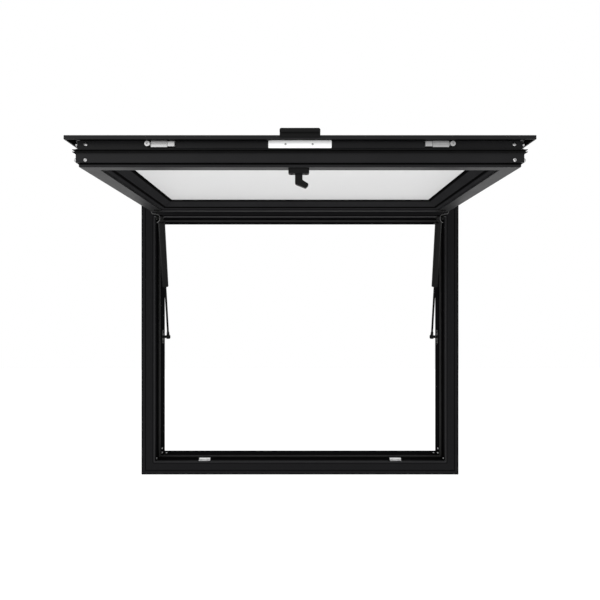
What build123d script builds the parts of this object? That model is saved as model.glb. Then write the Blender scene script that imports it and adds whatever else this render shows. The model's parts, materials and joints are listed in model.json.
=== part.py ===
from build123d import *
import os

os.makedirs("parts", exist_ok=True)

# Driving dimensions in millimetres. X runs along the sill, +Y goes into the wall, Z is up.
# Y = 0 is the wall face, and Z = 0 is the middle of the sill flange's back face.

# Fixed frame
FRAME_W = 914.4
FRAME_H = 780.0
FLANGE_W = 37.0
FLANGE_T = 3.0
SLEEVE_SET = 25.0
REVEAL_D = 55.0
STOP_H = 10.2
FRAME_D = 111.0
FRAME_WALL = 2.0
NOSE = 1.5
GROOVE_AT = 10.4
GROOVE_W = 3.6
GROOVE_D = 1.4
SEAL_W = 6.0
SEAL_D = 8.0

# Sash, described closed, then swung open about the hinge
SIDE_GAP = 4.7
FOOT_GAP = 7.5
TOP_GAP = 6.5
SASH_T = 55.0
SASH_FACE = 3.0
SASH_WALL = 2.2
OVERHANG = 17.0
LIP_T = 2.4
LIP_D = 7.5
LIP_GAP = 0.8
BODY_W = 36.5
LOCK_FACE_0 = 8.2
LOCK_FACE_1 = 21.8
LOCK_GROOVE = 2.5
SEAM_D = 6.0
FIN_SEAT_0 = 22.6
FIN_SEAT_1 = 29.2
FIN_SEAT_D = 3.5
FIN_OUT = 5.0
FIN_T = 1.0
STEP_0 = 47.2
STEP_1 = 50.4
STEP_D = 6.5
RIM_SET = 4.5
SWING = 90.0

# Glazing
GLASS_T = 5.0
GLASS_GAP = 14.0
GLASS_FIT = 4.0
OUTER_LEG = 54.0
TAPE_T = 3.5
TAPE_W = 12.0
SPACER_W = 8.0
BEAD_STEP = 11.0
BEAD_REACH = 66.5
BEAD_LOW = 3.5
BEAD_T = 1.6
GASKET_T = 2.6
GASKET_LIP = 5.5

# Hinge of a hook rail on the wall and a bead rail on the sash
HINGE_RISE = 25.6
HINGE_OUT = 14.9
HINGE_BEAD_R = 4.0
HINGE_FIT = 0.3
HOOK_T = 2.2
HINGE_LEAF_T = 2.5
HINGE_LAP = 20.0
HINGE_CAP_T = 2.0

# Lock and handles
PLATE_W = 117.0
PLATE_0 = 6.6
PLATE_1 = 20.8
PLATE_T = 2.5
POINT_SET = 46.0
POINT_BLOCK = 14.5
POINT_BAR = 30.0
POINT_HW = 5.8
POINT_T = 3.0
POINT_OUT = 5.0
POINT_LINE = 3.0
POINT_LINE_D = 1.8
PIN_R = 4.9
PIN_GAP = 1.6
PIN_HEAD = 1.8
PIN_BORE_R = 1.9
PIN_BORE_D = 3.0
KEEPER_SET = 138.5
KEEPER_W = 32.0
KEEPER_Y = 4.0
KEEPER_D = 21.0
KEEPER_H = 6.5
KEEPER_T = 2.0
PULL_W = 74.4
PULL_H = 11.7
PULL_LAP = 24.0
PULL_T = 2.6
PULL_DROP = 3.8
PULL_LIP = 5.0
PULL_SHADE = 4.5
PULL_R = 4.0
HANDLE_X = -2.3
HANDLE_W = 39.0
HANDLE_D = 24.0
HANDLE_H = 10.0
LEVER_W = 14.0
LEVER_D = 14.0
LEVER_BEND = 19.0
LEVER_DROP = 27.0
LEVER_TIP = 20.0

# Gas struts
STRUT_SET = 23.5
STRUT_LEAN = 10.5
STRUT_LOW_Y = 66.0
STRUT_LOW_DROP = 385.5
STRUT_TOP_BACK = 16.0
STRUT_TOP_DROP = 16.0
TUBE_R = 9.0
TUBE_WALL = 1.5
TUBE_L = 194.0
GLAND_L = 10.0
ROD_R = 3.0
ROD_FIT = 0.3
PISTON_L = 8.0
EYE_R = 6.5
EYE_W = 9.0
EYE_L = 15.0
EYE_FIT = 0.3
NECK_R = 4.0
STUD_R = 2.5
COLLAR_R = 4.2
CLIP_T = 1.6
BRACKET_T = 2.5
BRACKET_W = 28.0
BRACKET_H = 40.0

# Positions that follow from the sizes above
FRAME_HW = FRAME_W / 2
FRAME_Z0 = -SLEEVE_SET / 2
FRAME_Z1 = FRAME_Z0 + FRAME_H
REVEAL_HW = FRAME_HW - FLANGE_W
REVEAL_Z0 = FRAME_Z0 + FLANGE_W
REVEAL_Z1 = FRAME_Z1 - FLANGE_W
CLEAR_HW = REVEAL_HW - STOP_H
SASH_HW = REVEAL_HW - SIDE_GAP
SASH_Z0 = REVEAL_Z0 + FOOT_GAP
SASH_Z1 = REVEAL_Z1 - TOP_GAP
SASH_Y = -FLANGE_T - LIP_GAP - LIP_D
TIP_Z = SASH_Z0 - OVERHANG
KEEPER_X = SASH_HW - KEEPER_SET
POINT_IN = KEEPER_X - POINT_SET
STRUT_X = SASH_HW - STRUT_SET
STRUT_LOW_Z = FRAME_Z1 - STRUT_LOW_DROP
HINGE_Y = -HINGE_OUT
HINGE_Z = FRAME_Z1 + HINGE_RISE
TAPE_0 = SASH_FACE
PANE_0 = TAPE_0 + TAPE_T
PANE_1 = PANE_0 + GLASS_T + GLASS_GAP
GLASS_IN = PANE_1 + GLASS_T
GLASS_H = BODY_W + GLASS_FIT


def face_of(points):
    return make_face(Polyline(*points, close=True))


def section(outline, voids, place):
    shape = face_of([place(h, d) for h, d in outline])
    for hole in voids:
        shape -= face_of([place(h, d) for h, d in hole])
    return shape


def box(x0, x1, y0, y1, z0, z1):
    return Pos((x0 + x1) / 2, (y0 + y1) / 2, (z0 + z1) / 2) * Box(x1 - x0, y1 - y0, z1 - z0)


# Four mitred lengths of one extrusion. Each profile point is (inward from the edge, depth).
def mitred_ring(outline, voids, half_w, z0, z1, y0):
    reach = max(h for h, d in outline) + 1
    over = 1 - min(h for h, d in outline)
    long_x = 2 * (half_w + over)
    long_z = z1 - z0 + 2 * over
    across = Plane.YZ.offset(-half_w - over)
    upward = Plane.XY.offset(z0 - over)
    foot = extrude(across * section(outline, voids, lambda h, d: (y0 + d, z0 + h)), long_x)
    head = extrude(across * section(outline, voids, lambda h, d: (y0 + d, z1 - h)), long_x)
    left = extrude(upward * section(outline, voids, lambda h, d: (h - half_w, y0 + d)), long_z)
    right = extrude(upward * section(outline, voids, lambda h, d: (half_w - h, y0 + d)), long_z)
    out_l, in_l = -half_w - over, reach - half_w
    out_f, in_f = z0 - over, z0 + reach
    out_h, in_h = z1 + over, z1 - reach
    wedge_foot = face_of([(out_l, out_f), (-out_l, out_f), (-in_l, in_f), (in_l, in_f)])
    wedge_head = face_of([(out_l, out_h), (in_l, in_h), (-in_l, in_h), (-out_l, out_h)])
    wedge_left = face_of([(out_l, out_f), (in_l, in_f), (in_l, in_h), (out_l, out_h)])
    wedge_right = face_of([(-out_l, out_f), (-in_l, in_f), (-in_l, in_h), (-out_l, out_h)])
    ring = {}
    for name, bar, wedge in [("foot", foot, wedge_foot), ("head", head, wedge_head),
                             ("left", left, wedge_left), ("right", right, wedge_right)]:
        ring[name] = bar & extrude(Plane.XZ * wedge, 2 * FRAME_D, both=True)
    return ring


def swing(shape):
    return Pos(0, HINGE_Y, HINGE_Z) * Rot(-SWING, 0, 0) * Pos(0, -HINGE_Y, -HINGE_Z) * shape


def save(name, shape):
    export_step(shape, f"parts/{name}.step")


def save_pair(name, right_shape):
    save("right_" + name, right_shape)
    save("left_" + name, mirror(right_shape, about=Plane.YZ))


# Frame: one hollow extrusion with a flange, a nosed inner edge, a reveal and a stop
nose_h = FLANGE_W + NOSE
stop_h = FLANGE_W + STOP_H
groove_end = GROOVE_AT + GROOVE_W
frame_outline = [
    (0, 0), (0, -FLANGE_T / 2), (FLANGE_T, -FLANGE_T),
    (GROOVE_AT, -FLANGE_T), (GROOVE_AT + GROOVE_D, GROOVE_D - FLANGE_T),
    (groove_end - GROOVE_D, GROOVE_D - FLANGE_T), (groove_end, -FLANGE_T),
    (nose_h - 6, -FLANGE_T), (nose_h - 5, GROOVE_D - FLANGE_T), (nose_h - 4, GROOVE_D - FLANGE_T),
    (nose_h - 3, -FLANGE_T - LIP_GAP / 2), (nose_h - 1, -FLANGE_T - LIP_GAP / 2),
    (nose_h, 1 - FLANGE_T), (nose_h, 0), (FLANGE_W, NOSE),
    (FLANGE_W, REVEAL_D), (stop_h, REVEAL_D), (stop_h, FRAME_D),
    (SLEEVE_SET, FRAME_D), (SLEEVE_SET, 0)]
front_void = [
    (SLEEVE_SET + FRAME_WALL, FRAME_WALL), (FLANGE_W - FRAME_WALL, FRAME_WALL),
    (FLANGE_W - FRAME_WALL, REVEAL_D - FRAME_WALL), (SLEEVE_SET + FRAME_WALL, REVEAL_D - FRAME_WALL)]
back_void = [
    (SLEEVE_SET + FRAME_WALL, REVEAL_D + FRAME_WALL), (stop_h - FRAME_WALL, REVEAL_D + FRAME_WALL),
    (stop_h - FRAME_WALL, FRAME_D - FRAME_WALL), (SLEEVE_SET + FRAME_WALL, FRAME_D - FRAME_WALL)]
frame = mitred_ring(frame_outline, [front_void, back_void], FRAME_HW, FRAME_Z0, FRAME_Z1, 0)
save("frame_sill", frame["foot"])
save("frame_head", frame["head"])
save("frame_left_jamb", frame["left"])
save("frame_right_jamb", frame["right"])

# Bulb seal lying on the stop face all round
seal_0 = FLANGE_W + (STOP_H - SEAL_W) / 2
seal_1 = seal_0 + SEAL_W
seal_outline = [
    (seal_0, REVEAL_D), (seal_0, REVEAL_D - SEAL_D + 2), (seal_0 + 2, REVEAL_D - SEAL_D),
    (seal_1 - 2, REVEAL_D - SEAL_D), (seal_1, REVEAL_D - SEAL_D + 2), (seal_1, REVEAL_D)]
seal = mitred_ring(seal_outline, [], FRAME_HW, FRAME_Z0, FRAME_Z1, 0)
save("frame_seal", seal["foot"] + seal["head"] + seal["left"] + seal["right"])

# Sash: one hollow extrusion with an overhanging flange, lock groove, fin seat, step and rim
sash_outline = [
    (-OVERHANG, 0.8), (0.8 - OVERHANG, 0), (OUTER_LEG - 2, 0), (OUTER_LEG, 1), (OUTER_LEG, SASH_FACE),
    (BODY_W, SASH_FACE), (BODY_W, SASH_T), (RIM_SET + 1, SASH_T), (RIM_SET, SASH_T - 1),
    (RIM_SET, STEP_1), (STEP_D, STEP_1), (STEP_D, STEP_0), (0, STEP_0),
    (0, FIN_SEAT_1), (FIN_SEAT_D, FIN_SEAT_1), (FIN_SEAT_D, FIN_SEAT_0), (0, FIN_SEAT_0),
    (0, LOCK_FACE_1), (LOCK_GROOVE, LOCK_FACE_1), (LOCK_GROOVE, LOCK_FACE_0), (0, LOCK_FACE_0),
    (0, LOCK_FACE_0 - 1.2), (SEAM_D, LOCK_FACE_0 - 1.2), (SEAM_D, SASH_FACE), (LIP_T - OVERHANG, SASH_FACE),
    (LIP_T - OVERHANG, LIP_D), (-OVERHANG, LIP_D)]
body_in = STEP_D + SASH_WALL
body_void = [
    (body_in, SASH_FACE), (BODY_W - SASH_WALL, SASH_FACE),
    (BODY_W - SASH_WALL, SASH_T - SASH_WALL), (body_in, SASH_T - SASH_WALL)]
sash = mitred_ring(sash_outline, [body_void], SASH_HW, SASH_Z0, SASH_Z1, SASH_Y)
save("sash_lock_rail", swing(sash["foot"]))
save("sash_hinge_rail", swing(sash["head"]))
save("sash_left_stile", swing(sash["left"]))
save("sash_right_stile", swing(sash["right"]))

# Weather gasket with two fins, seated in the groove round the sash
fin_mid_0 = FIN_SEAT_0 + FIN_T
fin_mid_1 = FIN_SEAT_1 - FIN_T
fin_outline = [
    (FIN_SEAT_D, FIN_SEAT_0), (0, FIN_SEAT_0), (0, fin_mid_0 - FIN_T / 2),
    (-FIN_OUT, fin_mid_0), (-FIN_OUT, fin_mid_0 + FIN_T), (0, fin_mid_0 + FIN_T),
    (0, fin_mid_1 - FIN_T), (-FIN_OUT, fin_mid_1 - FIN_T / 2), (-FIN_OUT, fin_mid_1 + FIN_T / 2),
    (0, fin_mid_1 + FIN_T / 2), (0, FIN_SEAT_1), (FIN_SEAT_D, FIN_SEAT_1)]
fins = mitred_ring(fin_outline, [], SASH_HW, SASH_Z0, SASH_Z1, SASH_Y)
save("weather_gasket", swing(fins["foot"] + fins["head"] + fins["left"] + fins["right"]))

# Sealed glass unit: outer pane, spacer and inner pane, on a tape against the outer leg
glass_hw = SASH_HW - GLASS_H
glass_z0 = SASH_Z0 + GLASS_H
glass_z1 = SASH_Z1 - GLASS_H


def pane(t0, t1):
    return box(-glass_hw, glass_hw, SASH_Y + t0, SASH_Y + t1, glass_z0, glass_z1)


def flat_ring(h0, h1, t0, t1):
    out_hw, in_hw = SASH_HW - h0, SASH_HW - h1
    whole = box(-out_hw, out_hw, SASH_Y + t0, SASH_Y + t1, SASH_Z0 + h0, SASH_Z1 - h0)
    return whole - box(-in_hw, in_hw, SASH_Y + t0, SASH_Y + t1, SASH_Z0 + h1, SASH_Z1 - h1)


save("glass_outer_pane", swing(pane(PANE_0, PANE_0 + GLASS_T)))
save("glass_inner_pane", swing(pane(PANE_1, GLASS_IN)))
save("glass_spacer", swing(flat_ring(GLASS_H + 3, GLASS_H + 3 + SPACER_W, PANE_0 + GLASS_T, PANE_1)))
save("glazing_tape", swing(flat_ring(OUTER_LEG - TAPE_W, OUTER_LEG, TAPE_0, PANE_0)))

# Glazing beads snapped inside the body, with a wedge gasket on the glass
bead_0 = GLASS_IN + GASKET_T
bead_1 = SASH_T - BEAD_LOW
bead_outline = [
    (BODY_W, bead_0), (BODY_W, bead_1), (BODY_W + BEAD_STEP - 1, bead_1), (BODY_W + BEAD_STEP, bead_1 - 1),
    (BEAD_REACH, bead_0 + BEAD_T), (BEAD_REACH, bead_0)]
bead_void = [
    (BODY_W + BEAD_T, bead_0 + BEAD_T), (BODY_W + BEAD_T, bead_1 - BEAD_T),
    (BODY_W + BEAD_STEP - BEAD_T, bead_1 - BEAD_T), (BEAD_REACH - 3 * BEAD_T, bead_0 + BEAD_T)]
beads = mitred_ring(bead_outline, [bead_void], SASH_HW, SASH_Z0, SASH_Z1, SASH_Y)
save("bead_lock_side", swing(beads["foot"]))
save("bead_hinge_side", swing(beads["head"]))
save("bead_left", swing(beads["left"]))
save("bead_right", swing(beads["right"]))
gasket_outline = [
    (BEAD_REACH - TAPE_W, GLASS_IN), (BEAD_REACH - TAPE_W, bead_0), (BEAD_REACH, bead_0),
    (BEAD_REACH, bead_0 + BEAD_T), (BEAD_REACH + 1.5, bead_0 + BEAD_T), (BEAD_REACH + GASKET_LIP, GLASS_IN)]
gasket = mitred_ring(gasket_outline, [], SASH_HW, SASH_Z0, SASH_Z1, SASH_Y)
save("glazing_gasket", swing(gasket["foot"] + gasket["head"] + gasket["left"] + gasket["right"]))

# Hinge: a hook rail standing on the frame's top edge, open down and out
hook_r = HINGE_BEAD_R + HINGE_FIT
hook_out = hook_r + HOOK_T
hinge_hw = SASH_HW
hook = Circle(hook_out) - Circle(hook_r)
hook -= face_of([(0, 0), (-20, 10), (-20, -25), (12, -20)])
hook += face_of([(hook_r + HOOK_T / 2, -HOOK_T / 2), (HINGE_OUT, -HOOK_T / 2),
                 (HINGE_OUT, HOOK_T / 2), (hook_r + HOOK_T / 2, HOOK_T / 2)])
hook += face_of([(HINGE_OUT - FLANGE_T, -HINGE_RISE), (HINGE_OUT, -HINGE_RISE),
                 (HINGE_OUT, hook_out), (HINGE_OUT - FLANGE_T, hook_out)])
hinge_plane = Plane.YZ.offset(-hinge_hw)
save("hinge_hook_rail", extrude(hinge_plane * Pos(HINGE_Y, HINGE_Z) * hook, 2 * hinge_hw))

# Hinge: a beaded leaf lying on the sash's outer face
leaf_foot = SASH_Z1 + OVERHANG - HINGE_LAP
leaf_in = SASH_Y
leaf_out = SASH_Y - HINGE_LEAF_T
leaf = face_of([(leaf_in, leaf_foot), (leaf_in, HINGE_Z), (leaf_out, HINGE_Z), (leaf_out, leaf_foot)])
leaf += Pos(HINGE_Y, HINGE_Z) * Circle(HINGE_BEAD_R)
save("hinge_bead_leaf", swing(extrude(hinge_plane * leaf, 2 * hinge_hw)))
cap = Pos(HINGE_Y, HINGE_Z) * Circle(hook_out)
save_pair("hinge_cap", extrude(Plane.YZ.offset(hinge_hw) * cap, HINGE_CAP_T))

# Lock: face plate, two drive bars in the groove and two lock points, on the free edge
plate_z = SASH_Z0
plate = box(-PLATE_W / 2, PLATE_W / 2, SASH_Y + PLATE_0, SASH_Y + PLATE_1, plate_z - PLATE_T, plate_z)
plate = fillet(plate.edges().filter_by(Axis.Z), 1.5)
save("lock_face_plate", swing(plate))
groove_mid = SASH_Y + (LOCK_FACE_0 + LOCK_FACE_1) / 2
groove_hw = (LOCK_FACE_1 - LOCK_FACE_0) / 2
bar_hw = groove_hw - 1
save_pair("lock_bar", swing(box(PLATE_W / 2, POINT_IN, groove_mid - bar_hw, groove_mid + bar_hw,
                                SASH_Z0, SASH_Z0 + LOCK_GROOVE)))
point_y = SASH_Y + (PLATE_0 + PLATE_1) / 2 - 0.5
bar_in = POINT_IN + POINT_BLOCK
bar_out = bar_in + POINT_BAR
pin_x = bar_out + PIN_GAP + PIN_R
point = box(POINT_IN, bar_in, point_y - POINT_HW + 1, point_y + POINT_HW - 1, SASH_Z0 - POINT_OUT, SASH_Z0)
point = chamfer(point.edges().filter_by(Axis.Y).group_by(Axis.Z)[0], 1.2)
point += box(bar_in, bar_out, point_y - POINT_HW, point_y + POINT_HW, SASH_Z0 - POINT_T, SASH_Z0)
point -= box(bar_in, bar_out, point_y - POINT_LINE / 2, point_y + POINT_LINE / 2, SASH_Z0 - POINT_T,
             SASH_Z0 - POINT_T + POINT_LINE_D)
point += box(bar_out, pin_x, point_y - POINT_HW / 2, point_y + POINT_HW / 2, SASH_Z0 - 2, SASH_Z0)
pin_place = Pos(pin_x, point_y, SASH_Z0)
point += pin_place * Pos(0, 0, -POINT_OUT / 2) * Cylinder(PIN_R - 1.6, POINT_OUT)
point += pin_place * Pos(0, 0, -POINT_OUT - PIN_HEAD / 2) * Cylinder(PIN_R, PIN_HEAD)
point -= pin_place * Pos(0, 0, PIN_BORE_D / 2 - POINT_OUT - PIN_HEAD) * Cylinder(PIN_BORE_R, PIN_BORE_D)
save_pair("lock_point", swing(point))

# Keepers on the sill reveal, each a plate with a raised hook
keeper_0 = KEEPER_X - KEEPER_W / 2
keeper_1 = KEEPER_X + KEEPER_W / 2
keeper = box(keeper_0, keeper_1, KEEPER_Y, KEEPER_Y + KEEPER_D, REVEAL_Z0, REVEAL_Z0 + KEEPER_T)
hook_block = box(keeper_0, keeper_1, KEEPER_Y + KEEPER_D / 2, KEEPER_Y + KEEPER_D,
                 REVEAL_Z0 + KEEPER_T, REVEAL_Z0 + KEEPER_H)
keeper += fillet(hook_block.edges().filter_by(Axis.X), 1.2)
save_pair("keeper", keeper)

# Outside pull hooked over the free edge: a lap plate, a neck and a rolled finger lip
pull_face = SASH_Y
pull_tip = TIP_Z
pull_top = pull_face - PULL_H
pull_front = pull_tip - PULL_T
pull_section = face_of([
    (pull_face, pull_tip + PULL_LAP), (pull_face - PULL_T, pull_tip + PULL_LAP), (pull_face - PULL_T, pull_tip),
    (pull_top, pull_tip), (pull_top, pull_front - PULL_LIP), (pull_face - PULL_SHADE, pull_front - PULL_LIP),
    (pull_face - PULL_SHADE, pull_front), (pull_face + PULL_DROP, pull_front),
    (pull_face + PULL_DROP, pull_tip), (pull_face, pull_tip)])
pull_section = fillet(pull_section.vertices().group_by(Axis.X)[0], PULL_T / 2)
pull = extrude(Plane.YZ.offset(-PULL_W / 2) * pull_section, PULL_W)
pull_outline = Pos(0, pull_face) * RectangleRounded(PULL_W, 2 * PULL_H, PULL_R)
pull &= extrude(Plane.XY.offset(pull_tip) * pull_outline, PULL_LAP + PULL_H, both=True)
save("outside_pull", swing(pull))

# Inside handle under the lock rail: a base block and a short bent lever
rim_z = HINGE_Z + HINGE_Y - SASH_Y - SASH_T
rim_mid_z = SASH_Z0 + (RIM_SET + BODY_W) / 2
rail_y = HINGE_Y + rim_mid_z - HINGE_Z
base = box(HANDLE_X - HANDLE_W / 2, HANDLE_X + HANDLE_W / 2, rail_y - HANDLE_D / 2, rail_y + HANDLE_D / 2,
           rim_z - HANDLE_H, rim_z)
base = fillet(base.edges().filter_by(Axis.Z), 4)
base = chamfer(base.faces().sort_by(Axis.Z)[0].edges(), 1.5)
save("inside_handle_base", base)
lever_hw = LEVER_W / 2
lever_outline = face_of([
    (-lever_hw, 0), (-lever_hw, -LEVER_BEND), (LEVER_TIP - lever_hw, -LEVER_DROP),
    (LEVER_TIP, lever_hw - LEVER_DROP), (lever_hw, lever_hw - LEVER_BEND), (lever_hw, 0)])
lever_outline = fillet(lever_outline.vertices().filter_by(lambda v: v.Y < -1), LEVER_W / 4)
lever_plane = Plane.XZ.offset(-rail_y - LEVER_D / 2)
lever = extrude(lever_plane * Pos(HANDLE_X, rim_z - HANDLE_H) * lever_outline, LEVER_D)
save("inside_handle_lever", lever)

# Gas struts: eye ends on clipped pins, a tube above and a rod below
top_y = HINGE_Y + SASH_Z1 - HINGE_Z - STRUT_TOP_BACK
top_z = rim_z - STRUT_TOP_DROP
top_x = STRUT_X - STRUT_LEAN
top_pin = Vector(top_x, top_y, top_z)
low_pin = Vector(STRUT_X, STRUT_LOW_Y, STRUT_LOW_Z)
strut_dir = (low_pin - top_pin).normalized()
strut_l = (low_pin - top_pin).length
along = Plane(origin=top_pin, x_dir=strut_dir.cross(Vector(0, 1, 0)), z_dir=strut_dir)
tube_0 = EYE_L
tube_1 = tube_0 + TUBE_L
rod_1 = strut_l - EYE_L


def round_bar(r, u0, u1):
    return along * Pos(0, 0, (u0 + u1) / 2) * Cylinder(r, u1 - u0)


def cross_bar(at, r, x0, x1):
    return Pos((x0 + x1) / 2, at.Y, at.Z) * Rot(0, 90, 0) * Cylinder(r, x1 - x0)


def eye_pin(at, face_x):
    eye_out = at.X + EYE_W / 2
    eye_in = at.X - EYE_W / 2
    pin = cross_bar(at, STUD_R, eye_in, face_x)
    return pin + cross_bar(at, COLLAR_R, eye_out, face_x) + cross_bar(at, COLLAR_R, eye_in - CLIP_T, eye_in)


def eye_end(at, u0, u1):
    eye = cross_bar(at, EYE_R, at.X - EYE_W / 2, at.X + EYE_W / 2) + round_bar(NECK_R, u0, u1)
    return eye - cross_bar(at, STUD_R + EYE_FIT, at.X - EYE_W, at.X + EYE_W)


save_pair("strut_top_eye", eye_end(top_pin, 0, EYE_L))
save_pair("strut_low_eye", eye_end(low_pin, rod_1, strut_l))
tube = round_bar(TUBE_R, tube_0, tube_1)
tube -= round_bar(TUBE_R - TUBE_WALL, tube_0 + GLAND_L / 2, tube_1 - GLAND_L)
tube -= round_bar(ROD_R + ROD_FIT, tube_1 - GLAND_L, tube_1)
save_pair("strut_tube", tube)
piston_0 = tube_0 + TUBE_L / 2
rod = round_bar(ROD_R, piston_0, rod_1)
rod += round_bar(TUBE_R - TUBE_WALL - ROD_FIT, piston_0, piston_0 + PISTON_L)
rod += round_bar(ROD_R + TUBE_WALL, tube_1, tube_1 + TUBE_WALL)
save_pair("strut_rod", rod)

# Strut brackets on the jamb's inner reveal and under the stile's rim
foot_plate = box(CLEAR_HW - BRACKET_T, CLEAR_HW, STRUT_LOW_Y - BRACKET_W / 2 + 4, STRUT_LOW_Y + BRACKET_W / 2 + 4,
                 STRUT_LOW_Z - BRACKET_H / 2, STRUT_LOW_Z + BRACKET_H / 2)
foot_plate = chamfer(foot_plate.edges().filter_by(Axis.X), 4)
save_pair("strut_foot", foot_plate + eye_pin(low_pin, CLEAR_HW - BRACKET_T))
tab_x = top_x + EYE_R + 5
tab_y0 = top_y - EYE_R - 1
tab_y1 = top_y + EYE_R + 1
wing = box(tab_x - 2 * EYE_R, tab_x + BRACKET_T, tab_y0 - BRACKET_W, tab_y0, rim_z - BRACKET_T, rim_z)
wing += box(tab_x, tab_x + BRACKET_T, tab_y0 - BRACKET_W, tab_y1, rim_z - BRACKET_T, rim_z)
tab = box(tab_x, tab_x + BRACKET_T, tab_y0, tab_y1, top_z - EYE_R, rim_z)
tab = chamfer(tab.edges().filter_by(Axis.X).group_by(Axis.Z)[0], 4)
save_pair("strut_head", wing + tab + eye_pin(top_pin, tab_x))
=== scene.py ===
# %% [markdown]
# # An aluminium awning serving window
# The window hangs in a wall opening and its glazed sash swings out level on two gas struts.
# The imported solids are the real shapes, so this lesson loads them as a fixed frame,
# gives every surface the finish it has on the real window, and adds screws, thin seals and clips.
# The coats of the frame, its head and the sash's hinge rail also carry painted highlight and painted shade,
# and one thin black strip on the glazing bead is painted shade.

# %% Load the imported window
import json
import math

import bpy
from mathutils import Matrix, Vector


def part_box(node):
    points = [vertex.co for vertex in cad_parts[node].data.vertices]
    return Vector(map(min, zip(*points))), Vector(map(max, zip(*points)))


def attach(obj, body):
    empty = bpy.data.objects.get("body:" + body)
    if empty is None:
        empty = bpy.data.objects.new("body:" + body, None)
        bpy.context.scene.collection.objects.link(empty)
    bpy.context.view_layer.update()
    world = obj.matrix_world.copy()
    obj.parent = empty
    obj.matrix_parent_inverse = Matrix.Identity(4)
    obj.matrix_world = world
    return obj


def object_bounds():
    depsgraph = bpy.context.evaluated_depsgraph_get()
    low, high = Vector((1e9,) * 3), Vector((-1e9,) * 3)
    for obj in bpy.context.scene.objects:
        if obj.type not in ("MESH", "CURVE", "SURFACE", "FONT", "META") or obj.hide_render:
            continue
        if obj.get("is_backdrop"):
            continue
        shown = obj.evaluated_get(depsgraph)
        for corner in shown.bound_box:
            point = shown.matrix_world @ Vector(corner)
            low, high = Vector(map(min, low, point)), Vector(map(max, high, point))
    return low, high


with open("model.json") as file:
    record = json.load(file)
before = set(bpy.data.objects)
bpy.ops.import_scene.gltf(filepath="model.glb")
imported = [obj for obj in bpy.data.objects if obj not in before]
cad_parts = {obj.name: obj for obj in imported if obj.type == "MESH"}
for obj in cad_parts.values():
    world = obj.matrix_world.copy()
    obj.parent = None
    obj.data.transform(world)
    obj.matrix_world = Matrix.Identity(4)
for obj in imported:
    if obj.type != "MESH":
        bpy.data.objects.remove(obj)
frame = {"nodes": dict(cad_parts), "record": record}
cad_low, cad_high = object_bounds()
nodes = frame["nodes"]
print("loaded", len(nodes), "solids, box", [round(v, 4) for v in (*cad_low, *cad_high)])

# %% [markdown]
# Colours are easiest to judge as the hex values of a picture program, which are sRGB.
# Shaders work in linear light, so one function makes the change for every colour below.

# %% Colours from hex
def linear_colour(hex_code):
    channels = [int(hex_code[i:i + 2], 16) / 255 for i in (1, 3, 5)]
    return (*[c / 12.92 if c <= 0.04045 else ((c + 0.055) / 1.055) ** 2.4 for c in channels], 1.0)


print("mid grey in linear light:", round(linear_colour("#808080")[0], 3))

# %% [markdown]
# A finish is a small graph of shader nodes. One helper adds a node, sets it and wires it,
# so the finishes read as a list of what feeds what.

# %% One helper for shader nodes
def add_node(tree, kind, settings=None, values=None, wires=None):
    node = tree.nodes.new("ShaderNode" + kind)
    for name, value in (settings or {}).items():
        setattr(node, name, value)
    for name, value in (values or {}).items():
        node.inputs[name].default_value = value
    for name, (source, output) in (wires or {}).items():
        tree.links.new(source.outputs[output], node.inputs[name])
    return node


def start_finish(name):
    finish = bpy.data.materials.new(name)
    finish.use_nodes = True
    finish.node_tree.nodes.clear()
    return finish, finish.node_tree


def per_metre(millimetres):
    return 1000.0 / millimetres


print("a 3 mm grain is drawn at", round(per_metre(3), 1), "cells per metre")

# %% [markdown]
# The extrusions are powder-coated aluminium: dry powder is sprayed on, then melted in an oven. In the
# photo the frame is darker in its grooves and inside its tunnel, and paler on the nose and the first 18 mm
# of the tunnel. These tones are light and shade painted into the coat: a painted highlight on the nose and
# the first 18 mm of the tunnel, and painted shade in the grooves and deeper in the tunnel; the tones are
# fitted to the photo. Each tone's share is worked out from the depth behind the nose, which starts later on
# faces that look sideways into the tunnel. Faces that look away from the window's middle keep the flange's
# tone.

# %% Painted highlight and shade on the frame's coat
MM = 0.001
NOSE_PROUD = 0.4 * MM
SHADE_FADE_DEEP = 0.7 * MM
HIGHLIGHT_RUN = 18 * MM
TURN = 50 * MM
LOOKS_FRONT, LOOKS_SIDEWAYS = -0.4, -0.1
FLANGE_SHARE = SHADE_FADE_DEEP / (NOSE_PROUD + SHADE_FADE_DEEP)
nose_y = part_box("frame_sill")[0].y
window_centre = (cad_low + cad_high) / 2


# Painted light: this share gives a painted highlight on the nose and the first 18 mm of the tunnel, and
# painted shade in the grooves and deeper in the tunnel.
def painted_light_share(tree, place):
    spot = add_node(tree, "SeparateXYZ", {}, {}, {"Vector": (place, "Object")})
    looks = add_node(tree, "SeparateXYZ", {}, {}, {"Vector": (place, "Normal")})
    late = add_node(tree, "MapRange", {},
                    {"From Min": LOOKS_FRONT, "From Max": LOOKS_SIDEWAYS, "To Max": HIGHLIGHT_RUN},
                    {"Value": (looks, "Y")})
    depth = add_node(tree, "Math", {"operation": "SUBTRACT"}, {}, {0: (spot, "Y"), 1: (late, "Result")})
    painted_depth_tone = add_node(tree, "MapRange", {},
                     {"From Min": nose_y, "From Max": nose_y + NOSE_PROUD + SHADE_FADE_DEEP,
                      "To Min": 1.0, "To Max": 0.0}, {"Value": (depth, "Value")})
    arm = add_node(tree, "VectorMath", {"operation": "SUBTRACT"}, {1: window_centre},
                   {0: (place, "Object")})
    outward = add_node(tree, "VectorMath", {"operation": "DOT_PRODUCT"}, {},
                       {0: (arm, "Vector"), 1: (place, "Normal")})
    facing = add_node(tree, "MapRange", {}, {"From Max": TURN}, {"Value": (outward, "Value")})
    return add_node(tree, "Mix", {}, {3: FLANGE_SHARE}, {0: (facing, "Result"), 2: (painted_depth_tone, "Result")})


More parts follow.
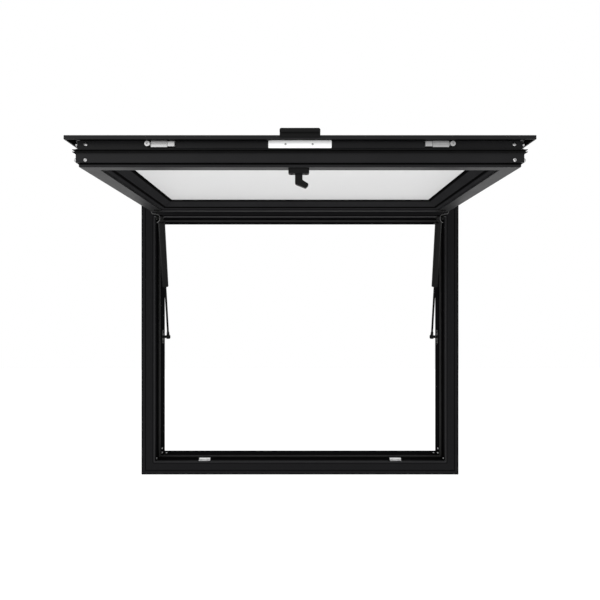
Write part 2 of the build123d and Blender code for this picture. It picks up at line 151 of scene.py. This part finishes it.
print("the nose stands at", round(nose_y / MM, 2), "mm, and the flange's cover is", round(FLANGE_SHARE, 2))

# %% [markdown]
# The coat's skin is satin black with a faint orange peel about 1 mm across and slow clouds of gloss.
# The peel is too fine for the render, so it is drawn 3 mm wide and only as a slight bump.

# %% Powder-coated aluminium
CLOUD_MM = 90


def powder_coat(name, dark, pale, gloss_low, gloss_high, shine, peel_mm=3.0, nose_highlight=None):
    finish, tree = start_finish(name)
    place = add_node(tree, "TexCoord")
    cloud = add_node(tree, "TexNoise", {},
                     {"Scale": per_metre(CLOUD_MM), "Detail": 3.0, "Roughness": 0.55},
                     {"Vector": (place, "Object")})
    peel = add_node(tree, "TexNoise", {}, {"Scale": per_metre(peel_mm), "Detail": 1.0},
                    {"Vector": (place, "Object")})
    # A nose colour turns on the painted light: the dark tone is then painted shade and the nose colour a
    # painted highlight.
    share = (painted_light_share(tree, place), "Result") if nose_highlight else (cloud, "Fac")
    tint = add_node(tree, "ValToRGB", {}, {}, {"Fac": share})
    tint.color_ramp.elements[0].color = linear_colour(dark)
    tint.color_ramp.elements[1].color = linear_colour(nose_highlight or pale)
    if nose_highlight:
        tint.color_ramp.elements.new(FLANGE_SHARE).color = linear_colour(pale)
    gloss = add_node(tree, "MapRange", {}, {"To Min": gloss_low, "To Max": gloss_high},
                     {"Value": (cloud, "Fac")})
    skin = add_node(tree, "Bump", {}, {"Strength": 0.06, "Distance": 0.2 * MM}, {"Height": (peel, "Fac")})
    shader = add_node(tree, "BsdfPrincipled", {}, {"IOR": 1.45, "Specular IOR Level": shine},
                      {"Base Color": (tint, "Color"), "Roughness": (gloss, "Result"),
                       "Normal": (skin, "Normal")})
    add_node(tree, "OutputMaterial", {}, {}, {"Surface": (shader, "BSDF")})
    return finish


# The frame's coat: a painted highlight on its nose, painted shade in its grooves and deep in its tunnel.
frame_coat = powder_coat("matt_powder_coated_aluminium", "#0d0d0e", "#19191a", 0.8, 0.9, 0.0,
                         nose_highlight="#303031")
# The head's coat: the same painted shade, with the palest painted highlight on its nose.
head_coat_painted_highlight = powder_coat("matt_powder_coated_head_painted_highlight", "#0d0d0e", "#19191a", 0.8, 0.9, 0.0, nose_highlight="#464647")
sash_coat = powder_coat("satin_powder_coated_aluminium", "#101011", "#181819", 0.42, 0.54, 0.13)
bead_coat = powder_coat("matt_powder_coated_bead", "#1d1d1e", "#252526", 0.82, 0.92, 0.0)
# Painted shade: a duller copy of the sash's coat with a paler base, so the hinge rail's rim shows the shade
# of its gap under the head rather than a sheen.
hinge_coat_painted_shade = powder_coat("hinge_rail_coat_painted_shade", "#1a1a1b", "#222223", 0.82, 0.92, 0.06)
handle_coat = powder_coat("powder_coated_zinc_casting", "#090909", "#111111", 0.5, 0.62, 0.09, peel_mm=2.0)
strut_coat = powder_coat("stoved_paint_on_steel_tube", "#090909", "#101010", 0.4, 0.5, 0.09, peel_mm=2.0)
coats = (frame_coat, head_coat_painted_highlight, sash_coat, bead_coat, hinge_coat_painted_shade, handle_coat, strut_coat)
print("coats:", [coat.name for coat in coats])

# %% [markdown]
# Gaskets are EPDM rubber, pushed hot through a die. It is duller than the coat and blooms a little:
# pale clouds about 25 mm across, which a noise gives. The frame's softer bulb seal is a paler kind.

# %% Extruded EPDM rubber
BLOOM_MM = 25


def rubber(name, dark, pale, rough, shine):
    finish, tree = start_finish(name)
    place = add_node(tree, "TexCoord")
    bloom = add_node(tree, "TexNoise", {}, {"Scale": per_metre(BLOOM_MM), "Detail": 4.0},
                     {"Vector": (place, "Object")})
    tint = add_node(tree, "ValToRGB", {}, {}, {"Fac": (bloom, "Fac")})
    tint.color_ramp.elements[0].color = linear_colour(dark)
    tint.color_ramp.elements[1].color = linear_colour(pale)
    grain = add_node(tree, "Bump", {}, {"Strength": 0.1, "Distance": 0.2 * MM}, {"Height": (bloom, "Fac")})
    shader = add_node(tree, "BsdfPrincipled", {},
                      {"Roughness": rough, "IOR": 1.5, "Specular IOR Level": shine},
                      {"Base Color": (tint, "Color"), "Normal": (grain, "Normal")})
    add_node(tree, "OutputMaterial", {}, {}, {"Surface": (shader, "BSDF")})
    return finish


epdm = rubber("extruded_epdm_rubber", "#050505", "#0b0b0b", 0.8, 0.0)
bulb = rubber("soft_epdm_bulb_seal", "#222222", "#2c2c2c", 0.85, 0.05)
fins = rubber("extruded_epdm_fins", "#101010", "#171717", 0.8, 0.02)
tape = rubber("closed_cell_glazing_tape", "#080808", "#0e0e0e", 0.9, 0.1)
nylon = rubber("glass_filled_nylon", "#0a0a0a", "#121212", 0.55, 0.1)
print("rubbers:", epdm.name, bulb.name, fins.name, tape.name, nylon.name)

# %% [markdown]
# In the photo the panes are an even pale grey and nothing shows through, so they are taken to be float
# glass with an acid-etched inner face. Etching leaves fine grain and slow clouds of roughness.

# %% Etched float glass
ETCH_MM = 220


def etched_glass(name, dark, pale, passes):
    finish, tree = start_finish(name)
    place = add_node(tree, "TexCoord")
    cloud = add_node(tree, "TexNoise", {}, {"Scale": per_metre(ETCH_MM), "Detail": 1.0},
                     {"Vector": (place, "Object")})
    tint = add_node(tree, "ValToRGB", {}, {}, {"Fac": (cloud, "Fac")})
    tint.color_ramp.elements[0].color = linear_colour(dark)
    tint.color_ramp.elements[1].color = linear_colour(pale)
    rough = add_node(tree, "MapRange", {}, {"To Min": 0.5, "To Max": 0.6}, {"Value": (cloud, "Fac")})
    shader = add_node(tree, "BsdfPrincipled", {}, {"IOR": 1.52, "Transmission Weight": passes},
                      {"Base Color": (tint, "Color"), "Roughness": (rough, "Result")})
    add_node(tree, "OutputMaterial", {}, {}, {"Surface": (shader, "BSDF")})
    return finish


glass = etched_glass("acid_etched_float_glass", "#dcdcdc", "#e2e2e2", 0.3)
print("glass:", glass.name)

# %% [markdown]
# The lock pieces are plated metal. Plating is bright but slightly uneven, so its gloss wanders,
# and rolled or ground strip keeps fine lines along its length. The strut's rod is nitrided steel: its black
# skin is a hard oxide and hardly mirrors, so it isn't given a metal's shine.

# %% Plated and ground metals
LINE_MM = 0.8


def plated_metal(name, dark, pale, gloss_low, gloss_high, along=(1, 18, 18), metal=1.0, shine=0.5):
    finish, tree = start_finish(name)
    place = add_node(tree, "TexCoord")
    stretch = add_node(tree, "Mapping", {}, {"Scale": along}, {"Vector": (place, "Object")})
    lines = add_node(tree, "TexNoise", {}, {"Scale": per_metre(LINE_MM * max(along)), "Detail": 2.0},
                     {"Vector": (stretch, "Vector")})
    tint = add_node(tree, "ValToRGB", {}, {}, {"Fac": (lines, "Fac")})
    tint.color_ramp.elements[0].color = linear_colour(dark)
    tint.color_ramp.elements[1].color = linear_colour(pale)
    gloss = add_node(tree, "MapRange", {}, {"To Min": gloss_low, "To Max": gloss_high},
                     {"Value": (lines, "Fac")})
    shader = add_node(tree, "BsdfPrincipled", {}, {"Metallic": metal, "Specular IOR Level": shine},
                      {"Base Color": (tint, "Color"), "Roughness": (gloss, "Result")})
    add_node(tree, "OutputMaterial", {}, {}, {"Surface": (shader, "BSDF")})
    return finish


bright_plate = plated_metal("bright_nickel_plated_steel", "#f4f4f4", "#ffffff", 0.30, 0.42, metal=0.5)
zinc_cast = plated_metal("zinc_plated_die_casting", "#9c9c9c", "#b6b6b6", 0.34, 0.48, along=(1, 1, 1))
keeper_steel = plated_metal("zinc_plated_pressed_steel", "#c8c8c8", "#dedede", 0.30, 0.42)
nitrided_rod = plated_metal("nitrided_steel_rod", "#070707", "#0d0d0d", 0.5, 0.6, along=(18, 18, 1),
                            metal=0.0, shine=0.04)
spring_wire = plated_metal("zinc_plated_spring_wire", "#505050", "#666666", 0.34, 0.48, along=(1, 1, 1))
spacer_bar = plated_metal("mill_finish_aluminium_spacer", "#9a9a9a", "#b4b4b4", 0.35, 0.5)
screw_steel = plated_metal("bright_stainless_screw", "#a4a4a4", "#bcbcbc", 0.24, 0.36, along=(1, 1, 1))
print("metals:", bright_plate.name, zinc_cast.name, keeper_steel.name, nitrided_rod.name)

# %% [markdown]
# Each solid already has its material slot in the record. The finishes above are handed out by
# that slot, so a new solid of the same slot would be dressed without another line here. Four solids
# have a finish of their own, fitted to the photo: two paler seals; the hinge rail, whose duller copy of the
# sash's coat is painted shade for the gap under the head; and the head, whose nose has the palest painted
# highlight.

# %% Dress the solids
slot_finish = {
    "frame_coat": frame_coat, "sash_coat": sash_coat, "bead_coat": bead_coat, "epdm": epdm, "tape": tape,
    "glass": glass, "spacer": spacer_bar,
    "lock_plate": bright_plate, "lock_zinc": zinc_cast, "lock_bar": sash_coat,
    "keeper_steel": keeper_steel, "pull_coat": handle_coat, "handle_coat": handle_coat,
    "strut_rod": nitrided_rod, "strut_tube": strut_coat, "strut_eye": nylon, "strut_bracket": handle_coat}
own_finish = {"frame_seal": bulb, "weather_gasket": fins, "sash_hinge_rail": hinge_coat_painted_shade,
              "frame_head": head_coat_painted_highlight}
for subpart in frame["record"]["subparts"]:
    name = subpart["node"]
    nodes[name].data.materials.clear()
    nodes[name].data.materials.append(own_finish.get(name, slot_finish[subpart["material_slot"]]))

# %% [markdown]
# What is left are the small things on the surfaces: screws, thin seals and two spring clips. Each is
# made as a list of points and faces, so one function turns such a list into a piece that belongs to
# the window. Round forms are shaded smooth, and edges sharper than 40 degrees stay crisp.

# %% One way to add a piece
SIDES = {"left": -1, "right": 1}
CRISP_EDGE = math.radians(40)


def place_piece(name, points, faces, finish, slot):
    mesh = bpy.data.meshes.new(name)
    mesh.from_pydata(points, [], faces)
    mesh.shade_smooth()
    mesh.set_sharp_from_angle(angle=CRISP_EDGE)
    mesh.materials.append(finish)
    piece = bpy.data.objects.new(name, mesh)
    bpy.context.scene.collection.objects.link(piece)
    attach(piece, "root")
    print(name, "has", len(points), "points")


# %% [markdown]
# A pan head is a low dome with a cross recess. It could be cut with a boolean, but rings of points are
# simpler and always closed: a point inside the cross is pushed down.

# %% One pan-head screw
RIM_STEPS = 32
DOME_RINGS = (0.12, 0.24, 0.36, 0.5, 0.62, 0.8, 0.93, 1.0)
RIM_SHARE = 0.35
CROSS_HALF = 0.13
CROSS_REACH = 0.56
CROSS_DEPTH = 0.55


def pan_head(radius, height):
    def lift(x, y):
        r = math.hypot(x, y)
        dome = RIM_SHARE + (1 - RIM_SHARE) * math.sqrt(max(0.0, 1 - r * r))
        in_cross = min(abs(x), abs(y)) < CROSS_HALF and r < CROSS_REACH
        return height * (dome - CROSS_DEPTH * in_cross)

    points = [(0, 0, lift(0, 0))]
    for ring in DOME_RINGS:
        for step in range(RIM_STEPS):
            turn = 2 * math.pi * step / RIM_STEPS
            x, y = ring * math.cos(turn), ring * math.sin(turn)
            points.append((radius * x, radius * y, lift(x, y)))
    foot = len(points)
    points += [(x, y, 0) for x, y, z in points[foot - RIM_STEPS:foot]]
    faces = [(0, 1 + k, 1 + (k + 1) % RIM_STEPS) for k in range(RIM_STEPS)]
    for ring in range(len(DOME_RINGS)):
        here, there = 1 + ring * RIM_STEPS, 1 + (ring + 1) * RIM_STEPS
        for k in range(RIM_STEPS):
            near, far = k, (k + 1) % RIM_STEPS
            faces.append((here + near, there + near, there + far, here + far))
    faces.append(tuple(reversed(range(foot, foot + RIM_STEPS))))
    return points, faces


print("one screw head has", len(pan_head(1, 1)[0]), "points")

# %% [markdown]
# A group of screws is one mesh. Each seat is a place on a surface and the way the head looks.
# The heads are turned by uneven angles, as screws are when they are driven home.

# %% Groups of screws
FIRST_TURN = 11
NEXT_TURN = 37


def screw_group(name, seats, finish, slot, radius_mm, height_mm):
    head_points, head_faces = pan_head(radius_mm * MM, height_mm * MM)
    points, faces = [], []
    for number, (place, looks) in enumerate(seats):
        spin = Matrix.Rotation(math.radians(FIRST_TURN + NEXT_TURN * number), 4, "Z")
        stand = Vector(looks).to_track_quat("Z", "Y").to_matrix().to_4x4()
        seat = Matrix.Translation(place) @ stand @ spin
        first = len(points)
        points += [seat @ Vector(point) for point in head_points]
        faces += [[first + k for k in face] for face in head_faces]
    place_piece(name, points, faces, finish, slot)


# %% [markdown]
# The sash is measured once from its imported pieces. Its body is the block inside the overhanging
# flange: the two fins stand 5 mm proud of it, so their box gives its four sides.

# %% Measures of the sash
FIN_OUT = 5 * MM
fin_low, fin_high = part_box("weather_gasket")
rail_low, rail_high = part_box("sash_lock_rail")
body_front = fin_low.y + FIN_OUT
body_back = fin_high.y - FIN_OUT
body_side = fin_high.x - FIN_OUT
sash_top, sash_under = rail_high.z, rail_low.z
print("sash body", round(2 * body_side, 4), "x", round(body_back - body_front, 4), "m")

# %% [markdown]
# Each front corner of the sash is pulled together by screws from the front and from the side:
# one pair in the lock groove and one pair on the face below the fins.

# %% Corner screws of the sash
GROOVE_DEPTH = 2.5 * MM
CORNER_INSET = 18 * MM
SIDE_INSET = 5 * MM
UPPER_DROP = 13.2 * MM
LOWER_DROP = 42.2 * MM
upper_z, lower_z = sash_top - UPPER_DROP, sash_top - LOWER_DROP
front_x = body_side - CORNER_INSET
side_y = body_front + SIDE_INSET
front_seats, side_seats = [], []
for side in SIDES.values():
    front_seats += [((side * front_x, body_front + GROOVE_DEPTH, upper_z), (0, -1, 0)),
                    ((side * front_x, body_front, lower_z), (0, -1, 0))]
    side_seats += [((side * (body_side - GROOVE_DEPTH), side_y, upper_z), (side, 0, 0)),
                   ((side * body_side, side_y, lower_z), (side, 0, 0))]
screw_group("sash_front_screws", front_seats, screw_steel, "keeper_steel", radius_mm=3.5, height_mm=2.4)
screw_group("sash_side_screws", side_seats, screw_steel, "keeper_steel", radius_mm=3.8, height_mm=4.2)

# %% [markdown]
# The bright lock plate is held by two small screws. They sit a little left of its middle, as in the
# photo.

# %% Lock plate screws
PLATE_SCREWS_X = (-26.8 * MM, 23.3 * MM)
plate_low, plate_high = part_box("lock_face_plate")
plate_z = (plate_low.z + plate_high.z) / 2
plate_seats = [((x, plate_low.y, plate_z), (0, -1, 0)) for x in PLATE_SCREWS_X]
screw_group("lock_plate_screws", plate_seats, zinc_cast, "lock_zinc", radius_mm=2.0, height_mm=0.8)

# %% [markdown]
# Each keeper is held down by two screws on its flat part, near the front. Their places are shares of
# the keeper's box, so they follow it if it grows.

# %% Keeper screws
KEEPER_T = 2 * MM
KEEPER_SHARES = (0.2, 0.8)
KEEPER_DEPTH_SHARE = 0.25


def between(start, end, share):
    return start + share * (end - start)


keeper_seats = []
for hand in SIDES:
    low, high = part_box(hand + "_keeper")
    keeper_y = between(low.y, high.y, KEEPER_DEPTH_SHARE)
    for share in KEEPER_SHARES:
        keeper_seats.append(((between(low.x, high.x, share), keeper_y, low.z + KEEPER_T), (0, 0, 1)))
screw_group("keeper_screws", keeper_seats, screw_steel, "keeper_steel", radius_mm=2.8, height_mm=1.6)

# %% [markdown]
# Each strut has a bracket at both ends: the foot's screws go sideways into the jamb, the head's go up
# into the sash. The base of the inside handle has two screws of the same kind.

# %% Strut bracket and handle screws
BRACKET_T = 2.5 * MM
END_SHARES = (0.16, 0.84)
WING_SHARES = (0.14, 0.48)
bracket_seats = []
for hand, side in SIDES.items():
    low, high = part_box(hand + "_strut_foot")
    plate_x = (high.x if side > 0 else low.x) - side * BRACKET_T
    for share in END_SHARES:
        place = (plate_x, (low.y + high.y) / 2, between(low.z, high.z, share))
        bracket_seats.append((place, (-side, 0, 0)))
    low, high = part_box(hand + "_strut_head")
    for share in WING_SHARES:
        place = ((low.x + high.x) / 2, between(low.y, high.y, share), high.z - BRACKET_T)
        bracket_seats.append((place, (0, 0, -1)))
low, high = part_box("inside_handle_base")
for share in END_SHARES:
    bracket_seats.append(((between(low.x, high.x, share), (low.y + high.y) / 2, low.z), (0, 0, -1)))
screw_group("bracket_screws", bracket_seats, handle_coat, "strut_bracket", radius_mm=2.8, height_mm=1.8)

# %% [markdown]
# The hinge leaf lies on the sash, which hangs from it, so it is screwed down along its length. The photo
# doesn't show these screws. The row stops a little short of both ends.

# %% Hinge leaf screws
LEAF_T = 2.5 * MM
LEAF_SCREWS = 9
LEAF_INSET = 10 * MM
LEAF_SPREAD = 0.95
low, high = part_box("hinge_bead_leaf")
leaf_seats = []
for k in range(LEAF_SCREWS):
    x = LEAF_SPREAD * between(low.x, high.x, k / (LEAF_SCREWS - 1))
    leaf_seats.append(((x, low.y + LEAF_INSET, sash_top + LEAF_T), (0, 0, 1)))
screw_group("hinge_leaf_screws", leaf_seats, handle_coat, "sash_coat", radius_mm=3.2, height_mm=2.0)

# %% [markdown]
# In the lower corners of the frame the photo shows four bright points, taken to be the corner cleat's
# screws: one on the sill's inner reveal, two on the jamb's inner reveal, one on the jamb's outer reveal.

# %% Frame corner screws
STOP_H = 10.2 * MM
CLEAT_IN = 11 * MM
CLEAT_LOW = 3 * MM
CLEAT_HIGH = 16 * MM
CLEAT_OUTER_DROP = 7 * MM
SILL_SCREW_Y, JAMB_SCREW_Y, OUTER_SCREW_Y = 73 * MM, 61 * MM, 30 * MM
clear_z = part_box("frame_sill")[1].z
clear_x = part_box("frame_right_jamb")[0].x
cleat_seats = []
for side in SIDES.values():
    inward = (-side, 0, 0)
    cleat_seats += [((side * (clear_x - CLEAT_IN), SILL_SCREW_Y, clear_z), (0, 0, 1)),
                    ((side * clear_x, JAMB_SCREW_Y, clear_z + CLEAT_LOW), inward),
                    ((side * clear_x, JAMB_SCREW_Y, clear_z + CLEAT_HIGH), inward),
                    ((side * (clear_x + STOP_H), OUTER_SCREW_Y, clear_z - CLEAT_OUTER_DROP), inward)]
screw_group("frame_corner_screws", cleat_seats, screw_steel, "keeper_steel", radius_mm=2.8, height_mm=2.4)

# %% [markdown]
# Three thin black rubber strips run round the sash: two seals, and a strip of painted shade on the glazing
# bead.
# They could be curves with a bevel, but a section carried round the four sides gives true mitred corners.
# Each section is half an ellipse on a flat foot, its points counted inwards from the body's sides and
# downwards from the outer face.

# %% Seals and a strip of painted shade round the sash
SEAL_STEPS = 10


def half_round(start, end, bulge):
    along = end - start
    across = bulge * Vector((-along.y, along.x)).normalized()
    turns = [math.pi * k / SEAL_STEPS for k in range(SEAL_STEPS + 1)]
    return [start + (1 - math.cos(turn)) / 2 * along + math.sin(turn) * across for turn in turns]


def sash_ring_strip(name, section):
    points, faces = [], []
    for inset, drop in section:
        x, front, back, z = body_side - inset, body_front + inset, body_back - inset, sash_top - drop
        points += [(-x, front, z), (x, front, z), (x, back, z), (-x, back, z)]
    for row in range(len(section)):
        here, there = 4 * row, 4 * ((row + 1) % len(section))
        for k in range(4):
            turn = (k + 1) % 4
            faces.append((here + k, there + k, there + turn, here + turn))
    place_piece(name, points, faces, epdm, "epdm")


# %% [markdown]
# The bulb sits under the sash's overhang and the strip in the groove above its rim. On the glazing bead's
# slope, just below its step, a thin black strip is painted shade for the groove at the step. Each is given by
# the two ends of its foot and its bulge.

# %% Bulb seal, groove strip and a strip of painted shade on the bead
FLANGE_T = 3 * MM
BULB_OUT, BULB_IN, BULB_DROP = 13 * MM, 4 * MM, 4 * MM
bulb_start, bulb_end = Vector((-BULB_OUT, FLANGE_T)), Vector((-BULB_IN, FLANGE_T))
sash_ring_strip("overhang_bulb_seal", half_round(bulb_start, bulb_end, BULB_DROP))

GROOVE_IN, GROOVE_TOP, GROOVE_FOOT, STRIP_BULGE = 6.5 * MM, 47.4 * MM, 50.2 * MM, 3.5 * MM
strip_start, strip_end = Vector((GROOVE_IN, GROOVE_TOP)), Vector((GROOVE_IN, GROOVE_FOOT))
sash_ring_strip("groove_strip_seal", half_round(strip_start, strip_end, STRIP_BULGE))

# Painted shade: a black strip on the bead's slope just below its step stands for the shade in the groove
# there.
BEAD_STEP, BEAD_T, BEAD_EDGE = 11 * MM, 1.6 * MM, 1 * MM
SHADE_STRIP_SHARES = (0.03, 0.24)
SHADE_STRIP_BULGE = 0.8 * MM
bead_low, bead_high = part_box("bead_left")
slope_start = Vector((body_side + bead_low.x + BEAD_STEP, sash_top - bead_low.z - BEAD_EDGE))
slope_end = Vector((body_side + bead_high.x, sash_top - bead_high.z + BEAD_T))
shade_strip_start, shade_strip_end = [slope_start.lerp(slope_end, share) for share in SHADE_STRIP_SHARES]
sash_ring_strip("bead_step_painted_shade", half_round(shade_strip_start, shade_strip_end, SHADE_STRIP_BULGE))

# %% [markdown]
# At the top of each strut the photo shows a few paler pixels. They are made as a spring wire, hooked over
# the bracket, that keeps the eye on its pin. A tube is swept along its bends: a ring of points stands
# square to the wire at every step.

# %% Swept wire
WIRE_R = 1.0 * MM
WIRE_SIDES = 10
BEND_STEPS = 8


def swept_wire(path):
    points, faces = [], []
    for k, here in enumerate(path):
        ahead = (path[min(k + 1, len(path) - 1)] - path[max(k - 1, 0)]).normalized()
        across = ahead.cross(Vector((0, 1, 0))).normalized()
        for step in range(WIRE_SIDES):
            turn = 2 * math.pi * step / WIRE_SIDES
            points.append(here + WIRE_R * (math.cos(turn) * across + math.sin(turn) * ahead.cross(across)))
    for ring in range(len(path) - 1):
        for step in range(WIRE_SIDES):
            near, far = ring * WIRE_SIDES + step, ring * WIRE_SIDES + (step + 1) % WIRE_SIDES
            faces.append((near, far, far + WIRE_SIDES, near + WIRE_SIDES))
    faces.append(tuple(reversed(range(WIRE_SIDES))))
    faces.append(tuple(range(len(points) - WIRE_SIDES, len(points))))
    return points, faces


def bend(start, corner, end):
    steps = [k / BEND_STEPS for k in range(BEND_STEPS + 1)]
    return [(1 - t) ** 2 * start + 2 * t * (1 - t) * corner + t * t * end for t in steps]


# %% [markdown]
# The clip's three bends are given in millimetres out from the bracket's tab and down from the sash:
# down from the rim, across to the pin, and back under the eye.

# %% Spring clips of the struts
CLIP_BENDS = (((12, 0), (12, 7), (7, 7.5)), ((3, 8), (-10, 8.5), (-11, 17)), ((-11, 20), (-11, 29), (-3, 32)))
for hand, side in SIDES.items():
    head_low, head_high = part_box(hand + "_strut_head")
    tab_x = max(abs(head_low.x), abs(head_high.x))
    wire_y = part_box(hand + "_strut_top_eye")[0].y - WIRE_R
    wire = []
    for corners in CLIP_BENDS:
        spots = [Vector((side * (tab_x + out * MM), wire_y, sash_under - down * MM)) for out, down in corners]
        wire += bend(*spots)
    place_piece(hand + "_strut_clip", *swept_wire(wire), spring_wire, "keeper_steel")

# %% [markdown]
# The photograph is a studio picture on white. A wide pale floor well below the window and a
# white surround give the same even light; two large soft lamps add a little shape from the front.

# %% Floor, surround and lamps
FLOOR_Z = -0.95
FLOOR_HALF = 14.0
floor_mesh = bpy.data.meshes.new("studio_floor")
floor_signs = ((-1, -1), (1, -1), (1, 1), (-1, 1))
floor_corners = [(x * FLOOR_HALF, y * FLOOR_HALF, FLOOR_Z) for x, y in floor_signs]
floor_mesh.from_pydata(floor_corners, [], [(0, 1, 2, 3)])
floor = bpy.data.objects.new("studio_floor", floor_mesh)
bpy.context.scene.collection.objects.link(floor)
floor_paint, floor_tree = start_finish("matt_white_studio_paint")
floor_shader = add_node(floor_tree, "BsdfPrincipled", {}, {
    "Base Color": linear_colour("#f0f0f0"), "Roughness": 0.9,
    "Emission Color": linear_colour("#ffffff"), "Emission Strength": 0.3})
add_node(floor_tree, "OutputMaterial", {}, {}, {"Surface": (floor_shader, "BSDF")})
floor_mesh.materials.append(floor_paint)
floor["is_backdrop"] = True

surround = bpy.data.worlds.new("studio_surround")
bpy.context.scene.world = surround
surround.use_nodes = True
surround.node_tree.nodes["Background"].inputs["Color"].default_value = linear_colour("#ffffff")
surround.node_tree.nodes["Background"].inputs["Strength"].default_value = 1.0


def soft_lamp(name, place, aim, size, watts):
    lamp = bpy.data.lights.new(name, "AREA")
    lamp.shape, lamp.size, lamp.energy = "SQUARE", size, watts
    lamp_object = bpy.data.objects.new(name, lamp)
    lamp_object.location = place
    lamp_object.rotation_euler = (Vector(aim) - Vector(place)).to_track_quat("-Z", "Y").to_euler()
    bpy.context.scene.collection.objects.link(lamp_object)


soft_lamp("front_soft_lamp", (-1.6, -3.2, 1.9), (0, -0.3, 0.5), 1.6, 30)
soft_lamp("under_soft_lamp", (0.4, -2.2, -0.6), (0, -0.4, 0.7), 1.2, 12)
print("floor at", FLOOR_Z, "m")

# %% [markdown]
# The camera stands square in front of the window, a little above mid height, 2.16 m from the
# flange, with a 45 mm lens. The picture's horizon is 3 pixels under its middle, hence the shift.

# %% Camera
PICTURE_SIDE = 600
HORIZON_Y = 303
CAMERA_BACK = 2.1647
CAMERA_UP = 0.4823
camera_data = bpy.data.cameras.new("square_on_camera")
camera_data.lens, camera_data.sensor_width = 45.0, 36.0
camera_data.shift_y = (HORIZON_Y - PICTURE_SIDE / 2) / PICTURE_SIDE
camera = bpy.data.objects.new("square_on_camera", camera_data)
camera.location = (0.0, -CAMERA_BACK, CAMERA_UP)
camera.rotation_euler = (math.radians(90), 0, 0)
bpy.context.scene.collection.objects.link(camera)
bpy.context.scene.camera = camera
bpy.context.scene.view_settings.view_transform = "Standard"
print("camera at", [round(v, 3) for v in camera.location])

# %% [markdown]
# Last, the box of the dressed window is printed.

# %% Measure and finish
low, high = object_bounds()
print("visual box", [round(v, 4) for v in (*low, *high)])
